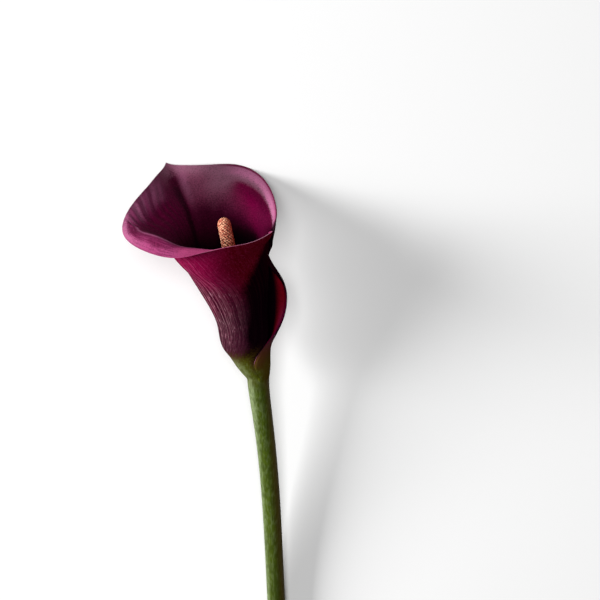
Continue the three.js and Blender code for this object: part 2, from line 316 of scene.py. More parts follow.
class Paint:
    """A material while its nodes are put together, with the colour that it has so far."""

    def __init__(self, name: str, colour: object = None) -> None:
        """Start a material that has no nodes.

        Args:
            name: The material's name.
            colour: The colour below all the others.
        """
        self.colour = colour
        self.material = bpy.data.materials.new(name)
        self.material.use_nodes = True
        self.tree = self.material.node_tree
        self.tree.nodes.clear()

    def node(self, kind: str, settings: dict | None = None, inputs: dict | None = None) -> bpy.types.Node:
        """Add a node.

        Args:
            kind: Its type.
            settings: Its own settings, such as a Math node's operation, which are set first.
            inputs: Values, numbers or sockets by the name or the place of its input.

        Returns:
            The node.
        """
        node = self.tree.nodes.new(kind)
        for name, value in (settings or {}).items():
            setattr(node, name, value)
        for name, value in (inputs or {}).items():
            if isinstance(value, Number):
                value = value.socket
            if isinstance(value, Socket):
                self.tree.links.new(value, node.inputs[name])
            else:
                node.inputs[name].default_value = value
        return node

    def parts(self, vector: Socket) -> list[Number]:
        """Take a vector apart into three numbers."""
        node = self.node("ShaderNodeSeparateXYZ", None, {0: vector})
        return [Number(self, output) for output in node.outputs]

    def vector(self, x: Value, y: Value, z: Value = 0.0) -> Socket:
        """Put three numbers together into a vector."""
        return self.node("ShaderNodeCombineXYZ", None, {0: x, 1: y, 2: z}).outputs[0]

    def sheet_place(self) -> list[Number]:
        """Give the place on the piece's own UV map as two numbers."""
        return self.parts(self.node("ShaderNodeUVMap").outputs[0])[:2]

    def position(self) -> Socket:
        """Give the place in the frame, in metres."""
        return self.node("ShaderNodeTexCoord").outputs["Object"]

    def attribute(self, name: str) -> bpy.types.Node:
        """Read an attribute of the mesh."""
        return self.node("ShaderNodeAttribute", {"attribute_name": name})

    def noise(self, vector: Socket, scale: float, detail: float = 2.0) -> Number:
        """Give a noise of about 0 to 1 at a place.

        Args:
            vector: The place.
            scale: How many of its waves there are in one unit.
            detail: How many finer noises are added.

        Returns:
            The noise.
        """
        inputs = {"Vector": vector, "Scale": scale, "Detail": detail}
        return Number(self, self.node("ShaderNodeTexNoise", None, inputs).outputs[0])

    def grain(self, scale: float = SKIN_CELLS) -> Number:
        """Give a fine noise that follows the place in the frame, with a scale in waves to a metre."""
        return self.noise(self.position(), scale)

    def mixed(self, share: Value, first: object, second: object) -> Socket:
        """Mix two colours.

        Args:
            share: How much of the second is in the mix.
            first: A colour, or the socket of one.
            second: A colour, or the socket of one.

        Returns:
            The socket of the mixed colour.
        """
        settings = {"data_type": "RGBA", "clamp_factor": True}
        node = self.node("ShaderNodeMix", settings, {0: share, 6: first, 7: second})
        return node.outputs[2]

    def coat(self, share: Value, colour: object) -> None:
        """Paint a share of a colour, or of a colour's socket, over the colour so far."""
        self.colour = self.mixed(share, self.colour, colour)

    def finish(
        self, roughness: Value, relief: Number | None, depth: float, fixed: dict[str, object]
    ) -> Material:
        """Make the surface from its colour, roughness and relief.

        Args:
            roughness: From 0, polished, to 1, matt.
            relief: The height of a fine relief, from 0 to 1, or None.
            depth: How far, in metres, the relief reaches from 0 to 1.
            fixed: Other settings of the surface that are the same all over.

        Returns:
            The material.
        """
        inputs = {"Base Color": self.colour, "Roughness": roughness, **fixed}
        if relief is not None:
            bump = self.node("ShaderNodeBump", None, {"Distance": depth, "Height": relief})
            inputs["Normal"] = bump.outputs[0]
        surface = self.node("ShaderNodeBsdfPrincipled", None, inputs)
        self.node("ShaderNodeOutputMaterial", None, {"Surface": surface.outputs[0]})
        return self.material


# ---------------- finishes


@dataclass(frozen=True)
class GreenSkin:
    """The green of the stem, which runs on over the foot of the spathe without a break."""

    green: Colour = srgb(60, 75, 14)
    light: Colour = srgb(124, 137, 100)
    dark: Colour = srgb(38, 48, 5)
    olive: Colour = srgb(66, 52, 6)
    brown_and_painted_shade: Colour = srgb(62, 42, 10)

    def colour(self, paint: Paint) -> tuple[Socket, Number]:
        """Give the colour, which follows the place in the frame, and the fine lines along the stem."""
        x, y, z = paint.parts(paint.position())
        below = (y * -1000.0 + FOOT[1]).at_least(0.0)
        above = (y * 1000.0 - FOOT[1]).at_least(0.0)
        side = (x * 1000.0 - FOOT[0] - below**0.69 * 0.32 + above * 0.46) / (above * 0.45 + 4.8)
        lines = paint.noise(paint.vector(x * 1300.0, z * 1300.0, y * 260.0), 1.0, 3.0)
        patches = paint.noise(paint.vector(x * 650.0, z * 650.0, y * 240.0), 1.0, 3.0)
        colour = paint.mixed(lines.over(0.44, 0.62) * 0.2, self.green, self.light)
        # painted light: the side towards the light, on the left, is painted lighter
        colour = paint.mixed(side.over(-0.35, -0.95) * (lines * 0.8 + 0.2), colour, self.light)
        colour = paint.mixed(patches.over(0.42, 0.64) * 0.5, colour, self.dark)
        colour = paint.mixed(below.over(9.0, 0.0) * 0.35, colour, self.olive)
        # painted shade: lower down the stem, its middle and right are painted darker
        colour = paint.mixed(below.over(70.0, 130.0) * side.over(-0.7, -0.2) * 0.5, colour, self.dark)
        # the right side is painted brown: a brownish flush with painted shade on the side away from the light
        return paint.mixed(side.over(0.1, 0.9) * 0.75, colour, self.brown_and_painted_shade), lines


@dataclass(frozen=True)
class SpatheFinish:
    """The waxy, veined skin of the spathe. Here u runs round the sheet, and v from its foot to its lip."""

    plum: Colour = srgb(54, 16, 32)
    magenta: Colour = srgb(114, 4, 50)
    red: Colour = srgb(78, 0, 12)
    lit_crimson: Colour = srgb(108, 3, 20)
    violet: Colour = srgb(90, 0, 44)
    purple: Colour = srgb(74, 4, 38)
    heather: Colour = srgb(100, 25, 66)
    black: Colour = srgb(7, 0, 4)
    mauve_sheen: Colour = srgb(140, 80, 110)
    ash_sheen: Colour = srgb(150, 108, 116)
    rose: Colour = srgb(150, 44, 90)
    bloom_and_sheen: Colour = srgb(126, 80, 100)
    pink: Colour = srgb(92, 24, 58)
    rim_highlight: Colour = srgb(164, 96, 130)
    turned: Colour = srgb(142, 58, 100)
    petal: Colour = srgb(172, 66, 112)
    edge: Colour = srgb(204, 136, 160)
    flush: Colour = srgb(70, 36, 18)
    stem: GreenSkin = GreenSkin()
    gloss: Colour = srgb(236, 150, 190)

    def _skin(self, gloss: float) -> dict[str, object]:
        """Give what is the same all over a face: how much it reflects, and with what tint."""
        return {"Specular IOR Level": gloss, "Specular Tint": self.gloss}

    def _speckle(self, paint: Paint, grain: Number, share: Number) -> None:
        """Speckle the colour with the skin's tiny cells, a share of them in a lighter colour."""
        paint.coat(grain.over(0.5, 0.34) * 0.3, self.black)
        paint.coat(grain.over(0.54, 0.7) * share, self.rose)

    def outside(self) -> Material:
        """Make the outer face: veined, from green at the foot through plum to magenta under the lip, with
        painted sheen on its veins and painted shade on its flank.
        """
        paint = Paint("spathe_outside", self.plum)
        u, v = paint.sheet_place()
        grain = paint.grain()
        blotches = paint.noise(paint.position(), 45.0, 3.0)
        # the veins, which lean over near the foot and under the lip
        arch = v.over(0.77, 0.92) * 0.06 - v.over(0.42, 0.2) * 0.05
        vein = u - arch * u.over(0.68, 0.42)
        veins = paint.noise(paint.vector(vein * 210.0, v * 1.2), 1.0, 2.0)
        dashes = paint.noise(paint.vector(vein * 250.0, v * 22.0), 1.0, 2.0)
        strands = paint.noise(paint.vector(vein * 60.0, v * 1.5), 1.0, 2.0)
        upper = (v + (blotches - 0.5) * 0.4).over(0.36, 0.86)
        paint.coat(upper, self.magenta)
        paint.coat(u.over(0.32, 0.2) * v.over(0.45, 0.65), self.red)
        self._speckle(paint, grain, upper * 0.1 + 0.1)
        # painted sheen and painted glints: pale streaks and bright dashes along the veins, strongest on the
        # side towards the light
        left = u.over(0.24, 0.42) * 0.8 - u.over(0.5, 0.62) * 0.25 - u.over(0.84, 0.9) * 0.4 + 0.1
        pale_vein_sheen = paint.mixed(upper, self.ash_sheen, self.petal)
        lines = veins.over(0.48, 0.62) * 0.4 + dashes.over(0.54, 0.68) * 0.55
        paint.coat(lines * left * (strands * 0.6 + 0.55), pale_vein_sheen)
        paint.coat(dashes.over(0.62, 0.72) * left * v.over(0.75, 0.5) * 0.45, self.edge)
        dark = veins.over(0.5, 0.38) * left * (u.over(0.6, 0.42) * 0.6 + 0.35)
        paint.coat(dark, self.black)
        # the dark flank: painted shade where the sheet turns away from the light, and over the outer face of
        # the overlapping wrap
        to_margin = u + v.over(0.55, 0.82) * 0.16 + v.over(0.8, 0.92) * 0.08 + v.over(0.3, 0.18) * 0.06
        flank_shade = (to_margin + (strands - 0.5) * 0.03 + (grain - 0.5) * 0.03).over(0.285, 0.222)
        solid = 0.98 - veins.over(0.5, 0.64) * 0.08 - u.over(0.14, 0.04) * 0.1
        paint.coat(flank_shade * solid, self.black)
        paint.coat(u.over(0.8, 0.88) * v.over(0.2, 0.3) * 0.92, self.black)
        mottled = (veins - 0.5) * 0.03 + (grain - 0.5) * 0.14 + (blotches - 0.5) * 0.05
        from_foot = v + mottled + u.over(0.12, 0.05) * 0.06 + u.over(0.88, 0.97) * 0.02
        foot, _ = self.stem.colour(paint)
        paint.coat(from_foot.over(0.21, 0.12) * 0.75, self.stem.brown_and_painted_shade)
        paint.coat(from_foot.over(0.17, 0.06), foot)
        flush = u.over(0.88, 0.95) * v.over(0.03, 0.08) * v.over(0.24, 0.16)
        paint.coat(flush * 0.55, self.flush)
        relief = veins * 0.6 + grain * 0.4
        return paint.finish(grain * 0.14 + 0.5, relief, 0.00016, self._skin(0.0))

    def inside(self) -> Material:
        """Make the inner face: black in the throat, its own dark colour deepened into painted shade, with a
        painted sheen on its back, and pink along the lip.
        """
        # the black below the rest is the throat's own dark colour deepened into painted shade
        paint = Paint("spathe_inside", self.black)
        u, v = paint.sheet_place()
        grain = paint.grain()
        blotches = paint.noise(paint.position(), 60.0, 3.0)
        bands = paint.noise(paint.vector((u - v.over(0.84, 1.02) * 0.045) * 62.0, v * 0.6), 1.0, 1.0)
        streaks = paint.noise(paint.vector(u * 26.0, v * 170.0), 1.0, 3.0)
        up = v + (blotches - 0.5) * 0.12 + (grain - 0.5) * 0.04
        near_edge = v + (blotches - 0.5) * 0.03 + (grain - 0.5) * 0.03
        from_midrib = u + (0.95 - v) * 0.12 - 0.668
        paint.coat((up - u.over(0.82, 0.88) * 0.03).over(0.6, 0.84), self.purple)
        # the back, with a painted sheen, and the brighter patch on its right, painted as the light that falls
        # on that wall
        back_sheen = from_midrib.over(0.0, 0.03) * (v.over(0.9, 0.97) * 0.3 + 0.35)
        back_sheen = back_sheen + from_midrib.over(0.05, 0.09) * 0.5
        paint.coat(back_sheen * up.over(0.7, 0.92), self.bloom_and_sheen)
        beside = u.over(0.74, 0.81) * up.over(0.64, 0.78) * near_edge.over(0.9, 0.84)
        paint.coat(beside * 0.6, self.purple)
        lit_patch = u.over(0.765, 0.805) * (up + (u - 0.788) * 1.4).over(0.74, 0.9) * near_edge.over(0.915, 0.875)
        paint.coat(lit_patch, self.violet)
        paint.coat(lit_patch * u.over(0.85, 0.91) * 0.85, self.purple)
        # the midrib, with painted shade in its groove, and a painted highlight on the band beside it
        dark = from_midrib.over(-0.024, -0.004) * from_midrib.over(0.011, 0.0) * v.over(0.98, 0.86)
        paint.coat(dark * 0.75, self.black)
        paint.coat(from_midrib.near(0.018, 0.016) * v.over(0.76, 0.92) * 0.5, self.mauve_sheen)
        # the left lobe, with painted highlights on its bands, and the tip, with a painted sheen
        lobe = u.over(0.66, 0.62) * up.over(0.85, 0.98)
        paint.coat(lobe * (u.over(0.64, 0.58) * 0.3 + 0.35), self.heather)
        lobe = lobe * up.over(0.87, 0.95) * (u.over(0.64, 0.58) * 0.5 + 0.5)
        lit = bands.over(0.46, 0.6) * 0.45 + v.over(0.9, 0.98) * 0.16 + 0.1
        paint.coat(lobe * lit, self.mauve_sheen)
        paint.coat(u.over(0.63, 0.665) * up.over(0.93, 0.98) * 0.7, self.bloom_and_sheen)
        # the rim of the back: a painted sheen along it, and a thin violet line at its very edge painted as
        # shade
        inner_side = near_edge + u.over(0.84, 0.9) * 0.021
        paint.coat(u.over(0.745, 0.8) * inner_side.over(0.915, 0.95), self.rim_highlight)
        paint.coat(u.over(0.84, 0.88) * v.over(0.955, 0.98) * 0.5, self.turned)
        paint.coat(u.over(0.74, 0.78) * v.over(0.98, 0.99) * 0.85, self.violet)
        # the lip that is turned over, and the crest that it turns over at, with a painted highlight along the
        # crest and on the lip's left end
        lip = u.over(0.55, 0.52)
        from_crest = v - u.over(0.49, 0.535) * 0.075 - 0.918
        paint.coat(lip * from_crest.over(-0.016, 0.004), self.pink)
        streaked = lip * from_crest.over(-0.01, 0.01)
        paint.coat(streaked * streaks.over(0.5, 0.62) * 0.45, self.turned)
        paint.coat(streaked * streaks.over(0.5, 0.38) * 0.6, self.purple)
        paint.coat(lip * from_crest.near(0.0, 0.01) * 0.5, self.rim_highlight)
        turned = (near_edge - u.over(0.49, 0.535) * 0.02 + u.over(0.4, 0.32) * 0.022).over(0.957, 0.987)
        paint.coat(lip * turned * (streaks.over(0.35, 0.55) * 0.5 + 0.5), self.turned)
        paint.coat(lip * turned * u.over(0.42, 0.5) * 0.7, self.rim_highlight)
        paint.coat(lip * u.over(0.38, 0.33) * from_crest.over(0.0, 0.03) * 0.8, self.petal)
        # the flap beside the overlap: a crimson to rose crescent painted as the light on its edge, and black
        # painted as shade beside it
        paint.coat(u.over(0.905, 0.945) * v.over(0.58, 0.48), self.lit_crimson)
        paint.coat(u.over(0.92, 0.98) * v.over(0.42, 0.3) * 0.5, self.rose)
        paint.coat(u.over(0.95, 0.968) * v.over(0.6, 0.7) * 0.95, self.black)
        self._speckle(paint, grain, up.over(0.66, 0.84) * 0.14)
        relief = bands * 0.5 + grain * 0.5
        return paint.finish(grain * 0.14 + 0.54, relief, 0.00014, self._skin(0.02))

    def margin(self) -> Material:
        """Make the thin edge: pale along the lip, where a highlight is painted, darker on the back, and dark
        on the flap.
        """
        paint = Paint("spathe_margin", self.edge)
        u, v = paint.sheet_place()
        grain = paint.grain(900.0)
        # the pale colours along the lip's edge are a painted highlight where the thin edge catches the light
        paint.coat(grain * 0.5, self.rim_highlight)
        paint.coat(u.near(0.25, 0.14) * 0.8, self.petal)
        paint.coat(u.over(0.46, 0.54), self.pink)
        paint.coat(u.over(0.7, 0.78), self.violet)
        paint.coat(u.over(0.94, 0.97) * v.over(0.4, 0.5), self.black)
        paint.coat(v.over(0.2, 0.1), self.rim_highlight)
        foot, _ = self.stem.colour(paint)
        paint.coat(v.over(0.1, 0.06), foot)
        return paint.finish(grain * 0.1 + 0.5, None, 0.0, self._skin(0.02))


@dataclass(frozen=True)
class SpadixFinish:
    """The matt florets of the spadix."""

    tan: Colour = srgb(255, 192, 156)
    salmon: Colour = srgb(170, 52, 38)
    dent_shade: Colour = srgb(74, 12, 8)
    green: Colour = srgb(150, 150, 84)

    def florets(self) -> Material:
        """Make the florets: tan on top, with painted shade between them, greenish near the foot."""
        paint = Paint("spadix_florets", self.salmon)
        spike = paint.attribute("spike").outputs["Vector"]
        height, along, chance = paint.parts(spike)
        grain = paint.grain(2600.0)
        paint.coat(chance, self.tan)
        paint.coat(along.over(0.42, 0.3), self.green)
        # painted shade between the florets, less of it towards the tip
        shade_between = height.over(0.9, 0.3) * (0.94 - along.over(0.84, 0.99) * 0.45)
        paint.coat(shade_between, self.dent_shade)
        return paint.finish(grain * 0.2 + 0.62, grain, 0.00006, {"Specular IOR Level": 0.02})


@dataclass(frozen=True)
class StemFinish:
    """The smooth, finely lined skin of the stem, and its cut end."""

    outer: GreenSkin = GreenSkin()
    pith: Colour = srgb(172, 186, 116)

    def skin(self) -> Material:
        """Make the skin."""
        paint = Paint("stem_skin")
        paint.colour, lines = self.outer.colour(paint)
        grain = paint.grain()
        relief = lines * 0.6 + grain * 0.4
        return paint.finish(grain * 0.14 + 0.46, relief, 0.00012, {"Specular IOR Level": 0.04})

    def cut(self) -> Material:
        """Make the cut end: pale, wet, with the dots of its vessels."""
        paint = Paint("stem_cut", self.pith)
        across, up, _ = paint.parts(paint.attribute("grain").outputs["Vector"])
        cells = paint.node("ShaderNodeTexVoronoi", None, {"Vector": paint.vector(across, up), "Scale": 1.1})
        dots = Number(paint, cells.outputs["Distance"]).over(0.32, 0.12)
        from_middle = (across * across + up * up) ** 0.5
        paint.coat(dots * 0.7, self.outer.green)
        paint.coat(from_middle.over(3.9, 4.5), self.outer.dark)
        return paint.finish(0.3, dots, 0.0002, {"IOR": 1.4})


# ---------------- spathe


@dataclass(frozen=True)
class Ring:
    """A slanted ellipse that the sheet of the spathe runs round, between its left and right points."""

    at: float  # its share of the way from the foot to the margin of the mouth
    left: Point
    right: Point
    deep: float  # its half depth
    tilt: float  # how far its front edge leans down towards the stem, in degrees
    start: float  # the angle of the inner margin, where 0 faces up and 90 is to the right
    end: float  # the angle of the outer margin
    step: float  # how far the sheet moves outwards on its way round
    inner: Point | None = None  # where the inner margin leaves the ring
    outer: Point | None = None  # where the outer margin leaves it

    def around(self, share: Array) -> Array:
        """Give points of the plain ring at shares of the way round."""
        left, right = np.array(self.left), np.array(self.right)
        lean = math.radians(self.tilt)
        side = unit_vectors(right - left)
        front = np.array([0.0, -math.sin(lean), math.cos(lean)])
        angle = np.radians(self.start + (self.end - self.start) * share)
        outwards = self.step * (share - 0.5)
        across = (np.linalg.norm(right - left) / 2 + outwards) * np.sin(angle)
        forwards = (self.deep + outwards) * np.cos(angle)
        return (left + right) / 2 + across[:, None] * side + forwards[:, None] * front

    def points(self, share: Array) -> Array:
        """Give points of the ring, with its two ends drawn to where the margins run."""
        points = self.around(share)
        ends = self.around(np.array([0.0, 1.0]))
        if self.outer:
            drawn = smooth(share, 0.75, 1.0) ** 3
            points += drawn[:, None] * (np.array(self.outer) - ends[1])
        if self.inner:
            points += smooth(share, 0.1, 0.0)[:, None] * (np.array(self.inner) - ends[0])
        return points


@dataclass(frozen=True)
class MarginPoint:
    """A point of the margin of the mouth, and how the lip rolls over on its way there."""

    u: float  # its share of the way round, from the inner margin to the outer one
    margin: Point
    roll: tuple[Point, Point] | None = None  # a point before the crest of the lip and one past it


class Face(Enum):
    """The faces of the spathe, by the number of their material slot."""

    INSIDE = 0
    OUTSIDE = 1
    MARGIN = 2


@dataclass
class Spathe:
    """The rolled bract round the spadix."""

    columns: int = 350
    rows: int = 130
    start: float = -0.012  # the sheet's foot lies a little below the stem's shoulder, inside its skin
    foot_thickness: float = 1.5
    margin_thickness: float = 0.9
    tip_u: float = 47 / 70
    seam_depth: float = 0.5  # how far the outer margin sinks into the wrap below it at the foot
    midrib_lean: float = 0.12  # how far the midrib runs to the left on its way down from the tip
    groove_depth: float = 1.0
    groove_width: float = 0.026
    beak: Point = (-2.0, 3.36, -3.2)
    beak_width: float = 0.011
    roll_at: tuple[float, float] = (0.89, 0.95)  # where the lip's roll passes, as shares of the way
    crowding: float = 0.4  # how much closer the rows of faces stand towards the lip
    pleats: float = 54.0  # as many as there would be all round
    pleat_height: float = 0.28
    pleat_lean: float = 0.045
    wave_heights: tuple[float, float] = (0.16, 0.07)  # of the wide waves and of the fine ones
    reach: tuple[float, float] = (120.0, 60.0)  # about how far u and v go, in millimetres
    thin_edge: tuple[float, float] = (0.4, 2.5)  # its share of the thickness, and its width
    finish: SpatheFinish = field(default_factory=SpatheFinish)
    rings: tuple[Ring, ...] = (
        Ring(0, (-4.8, -0.2, 22), (4.8, 0.2, 22), 4.8, 7.4, 24, -360, 0.3),
        Ring(0.08, (-11.2, 7.2, 23), (5.2, 7.6, 23), 7, 8, 24, -354, 1.2, None, (-1.8, 6.8, 30.2)),
        Ring(0.19, (-16.7, 15, 25), (5.2, 18, 25), 10.4, 13, 85, -330, 2, None, (3.9, 16.7, 30)),
        Ring(0.34, (-19.8, 27.5, 28.5), (5.2, 33, 27), 13.6, 21, 115, -300, 2.6, None, (12.5, 30.8, 27)),
        Ring(0.5, (-27, 43, 33), (5.8, 48, 28.5), 18, 28, 118, -280, 2.6, None, (12.5, 47.2, 22.5)),
        Ring(
            0.65, (-35, 57.5, 37), (5.6, 61, 31), 23, 34, 108, -272, 1.8, (4.2, 60.5, 28), (5.2, 57.1, 31.5)
        ),
        Ring(
            0.79, (-44.5, 70, 39.5), (6.8, 75, 33.5), 28.5, 39, 96, -268, 1.4, (5.2, 70, 31.5), (7, 65, 35)
        ),
    )
    mouth: tuple[MarginPoint, ...] = (
        MarginPoint(0, (5.6, 72.6, 34)),
        MarginPoint(0.045, (7.3, 72.7, 40)),
        MarginPoint(0.135, (-0.5, 67.5, 55)),
        MarginPoint(0.22, (-12, 64.5, 63)),
        MarginPoint(0.295, (-25, 61.5, 66.2), ((-25, 62.4, 63.2), (-25, 62.6, 65.2))),
        MarginPoint(0.36, (-38, 59, 65), ((-36.5, 64.4, 62.4), (-37.2, 63.2, 66))),
        MarginPoint(0.42, (-52, 61.8, 58.6), ((-46.5, 69.3, 57), (-48.5, 67, 60.3))),
        MarginPoint(0.485, (-65.2, 71, 45), ((-55.5, 73, 45.5), (-60.5, 72.3, 47))),
        MarginPoint(0.55, (-63, 85, 33)),
        MarginPoint(0.615, (-54.5, 97.5, 20)),
        MarginPoint(47 / 70, (-46, 107, 3.8)),
        MarginPoint(0.72, (-31, 108, 5)),
        MarginPoint(0.78, (-12, 108.7, 0.2)),
        MarginPoint(0.845, (2.2, 101.2, 5)),
        MarginPoint(0.925, (9.2, 85, 25)),
        MarginPoint(0.97, (8.9, 77, 33.5)),
        MarginPoint(1, (7.7, 70.5, 36.5)),
    )

    def _ribs(self) -> Array:
        """Give each rib of the sheet: its points on the rings, on the lip's roll and on the margin."""
        u = np.array([point.u for point in self.mouth])
        on_rings = np.stack([ring.points(u) for ring in self.rings], axis=1)
        margin = np.array([point.margin for point in self.mouth])
        last = self.rings[-1].at
        lips = []
        for rib, point in enumerate(self.mouth):
            if point.roll:
                lips.append(point.roll)
                continue
            shares = [(at - last) / (1 - last) for at in self.roll_at]
            lips.append([on_rings[rib, -1] * (1 - s) + margin[rib] * s for s in shares])
        return np.concatenate([on_rings, np.array(lips), margin[:, None]], axis=1)

    def _bare(self, u: Array, v: Array) -> Array:
        """Give the smooth middle of the sheet, in an array of v by u by 3."""
        round_sheet = spline_weights([point.u for point in self.mouth], u)
        along = spline_weights([ring.at for ring in self.rings] + [*self.roll_at, 1.0], v)
        return np.einsum("ur,vk,rkc->vuc", round_sheet, along, self._ribs())

    def _normals(self, u: Array, v: Array) -> Array:
        """Give the outward normals of the smooth middle."""
        h = 1e-3
        round_sheet = self._bare(np.minimum(u + h, 1), v) - self._bare(np.maximum(u - h, 0), v)
        along = self._bare(u, np.minimum(v + h, 1)) - self._bare(u, np.maximum(v - h, 0))
        return unit_vectors(np.cross(along, round_sheet))

    def _sheet(self, u: Array, v: Array) -> Array:
        """Give the middle of the sheet with its midrib, its pointed tip and its folds."""
        uu, vv = np.meshgrid(u, v)
        midrib = self.tip_u - self.midrib_lean * (1 - vv)
        groove = self.groove_depth * bell(uu, midrib, self.groove_width) * smooth(vv, 0.45, 0.8)
        beak = np.exp(-np.abs(uu - self.tip_u) / self.beak_width) * smooth(vv, 0.9, 1.0)
        sunk = self.seam_depth * smooth(vv, 0.085, 0.045) * smooth(uu, 0.86, 1.0)
        outwards = groove + self._pleats(uu, vv) + self._waves(uu, vv) - sunk
        points = self._bare(u, v) + outwards[..., None] * self._normals(u, v)
        return points + beak[..., None] * np.array(self.beak)

    def _pleats(self, u: Array, v: Array) -> Array:
        """Give the height of the soft folds that run up the left lobe."""
        fan = smooth(u, 0.46, 0.53) * smooth(u, 0.66, 0.6) * smooth(v, 0.55, 0.85) * smooth(v, 1.02, 0.95)
        fold = u - self.pleat_lean * smooth(v, 0.84, 1.02)
        turns = fold * self.pleats + 0.5 * np.sin(fold * 40)
        return self.pleat_height * fan * np.sin(2 * math.pi * turns)

    def _waves(self, u: Array, v: Array) -> Array:
        """Give the height of the slight unevenness of a grown sheet."""
        wide = np.sin(9 * u + 2.1 * v) * np.sin(7 * v - 3 * u)
        fine = np.sin(41 * u + 5 * v) * np.sin(13 * v + 8 * u)
        of_wide, of_fine = self.wave_heights
        return smooth(v, 0.1, 0.4) * smooth(v, 1.0, 0.9) * (of_wide * wide + of_fine * fine)

    def build(self) -> Piece:
        """Model the sheet from a grid, give it its thickness and dress its faces."""
        u = np.linspace(0.0, 1.0, self.columns + 1)
        steps = np.linspace(0.0, 1.0, self.rows + 1)
        v = self.start + (1.0 - self.start) * (steps + self.crowding * np.sin(math.pi * steps) / math.pi)
        piece = sheet_from_grid("spathe_sheet", self.columns, self.rows, self._sheet(u, v))
        places = np.stack(np.meshgrid(u, v), axis=-1).reshape(-1, 2)
        vertex = np.empty(len(piece.data.loops), int)
        piece.data.loops.foreach_get("vertex_index", vertex)
        piece.data.uv_layers[0].data.foreach_set("uv", places[vertex].ravel())
        for face in (self.finish.inside(), self.finish.outside(), self.finish.margin()):
            piece.data.materials.append(face)
        self._thicken(piece, places)
        rest_on_table(piece)
        shade(piece, SHARPEST)
        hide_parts("spathe")
        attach(piece, "root")
        return piece

    def _thicken(self, piece: Piece, places: Array) -> None:
        """Give the sheet its thickness, thinner towards its margins.

        Args:
            piece: The sheet as a grid.
            places: The u and v of each of its corners.
        """
        u, v = places.T
        thickness = self.foot_thickness + (self.margin_thickness - self.foot_thickness) * v
        wide, high = self.reach
        thin, edge = self.thin_edge
        to_edge = np.minimum.reduce([(1 - v) * high, u * wide, (1 - u) * wide])
        thickness *= thin + (1 - thin) * smooth(to_edge, 0.0, edge)
        group = piece.vertex_groups.new(name="thickness")
        for index, share in enumerate(thickness / self.foot_thickness):
            group.add([index], float(share), "REPLACE")
        solid = piece.modifiers.new("thickness", "SOLIDIFY")
        solid.thickness = self.foot_thickness * MM
        solid.offset = 0.0
        solid.vertex_group = group.name
        solid.material_offset = Face.OUTSIDE.value
        solid.material_offset_rim = Face.MARGIN.value
        pick(piece)
        bpy.ops.object.modifier_apply(modifier=solid.name)
        piece.vertex_groups.clear()


# ---------------- stem


@dataclass
class Stem:
    """The round stem, from its cut end to the boss that it carries inside the spathe."""

    sides: int = 96
    steps: int = 150
    stations: tuple[tuple[Point, float], ...] = (
        ((0, 0, 22), 5.6),
        ((0.75, -9, 20.6), 5.25),
        ((3.4, -30, 16.6), 4.85),
        ((6.2, -62, 10.8), 4.65),
        ((8.4, -105, 5.8), 4.55),
        ((10.4, -150, 4.25), 4.6),
        ((11.8, FAR_EDGE - OVERALL_LENGTH - 0.5, 4.3), 4.7),
    )
    boss_radius: float = 3.25
    boss_length: float = 3.8
    edge: float = 0.35  # how far the cut's edge is worn round
    cut_rings: tuple[float, ...] = (0.0, 0.35, 0.7, 1.0)  # of the cut, as shares of its radius
    cut_depth: float = 0.05  # the faces of the cut lie no further from the stem's end
    finish: StemFinish = field(default_factory=StemFinish)

    def line(self, t: Array) -> tuple[Array, Array, Array]:
        """Give the stem's middles, its directions towards the flower and its radii.

        Args:
            t: Shares of the way from its top to its cut end.

        Returns:
            Three arrays, each with a row or a number for each share.
        """
        knots = list(np.linspace(0.0, 1.0, len(self.stations)))
        points = np.array([point for point, _ in self.stations], float)
        radii = np.array([radius for _, radius in self.stations])
        ahead = spline_weights(knots, np.maximum(t - 1e-3, 0.0)) @ points
        behind = spline_weights(knots, np.minimum(t + 1e-3, 1.0)) @ points
        weights = spline_weights(knots, t)
        return weights @ points, unit_vectors(ahead - behind), weights @ radii

    def build(self) -> Piece:
        """Model the stem as one closed stalk and dress its skin and its cut end."""
        middles, along, radii = self.line(np.linspace(1.0, 0.0, self.steps + 1))
        middles[0, 1] = FAR_EDGE - OVERALL_LENGTH
        square = np.array([0.0, 1.0, 0.0])
        cut = [Section(middles[0], square, share * (radii[0] - self.edge)) for share in self.cut_rings]
        worn = [Section(middles[0] + square * self.edge * 0.4, square, radii[0] - self.edge * 0.3)]
        length = [Section(*row) for row in zip(middles[1:], along[1:], radii[1:])]
        top, towards = middles[-1], along[-1]
        high = top + towards * self.boss_length
        ends = ((top, self.boss_radius), (high, self.boss_radius), (high, 0.0))
        boss = [Section(place, towards, radius) for place, radius in ends]
        piece = stalk("stem_stalk", cut + worn + length + boss, self.sides)
        rest_on_table(piece)
        shade(piece, SHARPEST)
        piece.data.materials.append(self.finish.skin())
        piece.data.materials.append(self.finish.cut())
        end = (middles[0, 1] + FOOT[1] + self.cut_depth) * MM
        for face in piece.data.polygons:
            face.material_index = int(face.center.y < end and face.normal.y < -0.9)
        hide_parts("stem")
        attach(piece, "root")
        return piece


# ---------------- spadix


